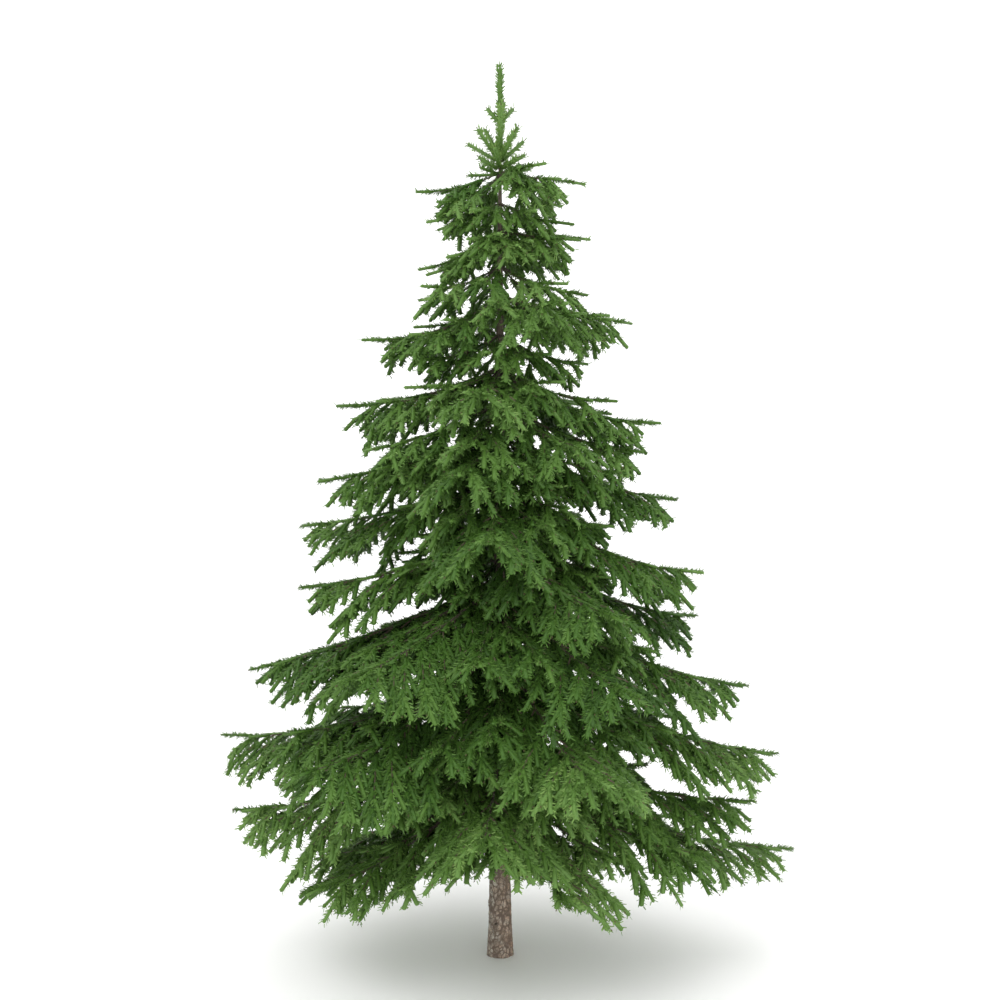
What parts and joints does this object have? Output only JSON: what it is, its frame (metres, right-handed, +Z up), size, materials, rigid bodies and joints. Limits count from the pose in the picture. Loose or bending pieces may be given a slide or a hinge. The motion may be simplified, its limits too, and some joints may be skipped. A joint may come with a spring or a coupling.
{
  "type": "douglas fir christmas tree",
  "caption": "Conical evergreen conifer with a straight bare-footed trunk, whorls of drooping needled boughs and a single upright leader.",
  "frame": {"origin": "middle of the flat cut under the trunk, at ground level", "axes": "+Z up along the trunk, -Y towards the front as pictured, +X to the tree's right side in the picture"},
  "size_m": [1.957, 1.7062, 3],
  "materials": {
    "trunk_bark": "scaly grey-brown bark",
    "limb_bark": "thin rough brown bark",
    "needles": "dark green waxy needles"
  },
  "bodies": {
    "root": {"trunk": "trunk_bark", "leader": "needles", "limb_01_back": "limb_bark", "limb_01_back_left": "limb_bark", "limb_01_front_left": "limb_bark", "limb_01_front_right": "limb_bark", "limb_01_right": "limb_bark", "limb_02_back_left": "limb_bark", "limb_02_back_right": "limb_bark", "limb_02_front": "limb_bark", "limb_02_left": "limb_bark", "limb_02_right": "limb_bark", "needles_01_back": "needles", "needles_01_back_left": "needles", "needles_01_front_left": "needles", "needles_01_front_right": "needles", "needles_01_right": "needles", "needles_02_back_left": "needles", "needles_02_back_right": "needles", "needles_02_front": "needles", "needles_02_left": "needles", "needles_02_right": "needles", "needles_03_back": "needles", "needles_03_front_left": "needles", "needles_03_front_right": "needles", "needles_03_left": "needles", "needles_03_right": "needles", "needles_04_back": "needles", "needles_04_front_left": "needles", "needles_04_front_right": "needles", "needles_04_left": "needles", "needles_04_right": "needles", "needles_05_back": "needles", "needles_05_front": "needles", "needles_05_left": "needles", "needles_05_right": "needles", "needles_06_back": "needles", "needles_06_front": "needles", "needles_06_left": "needles", "needles_06_right": "needles", "needles_07_back": "needles", "needles_07_front": "needles", "needles_07_left": "needles", "needles_07_right": "needles", "needles_08_back": "needles", "needles_08_front": "needles", "needles_08_left": "needles", "needles_08_right": "needles", "needles_09_back": "needles", "needles_09_front": "needles", "needles_09_left": "needles", "needles_09_right": "needles", "needles_10_back": "needles", "needles_10_front": "needles", "needles_10_left": "needles", "needles_10_right": "needles", "needles_11_back": "needles", "needles_11_front": "needles", "needles_11_left": "needles", "needles_11_right": "needles"}
  },
  "joints": []
}
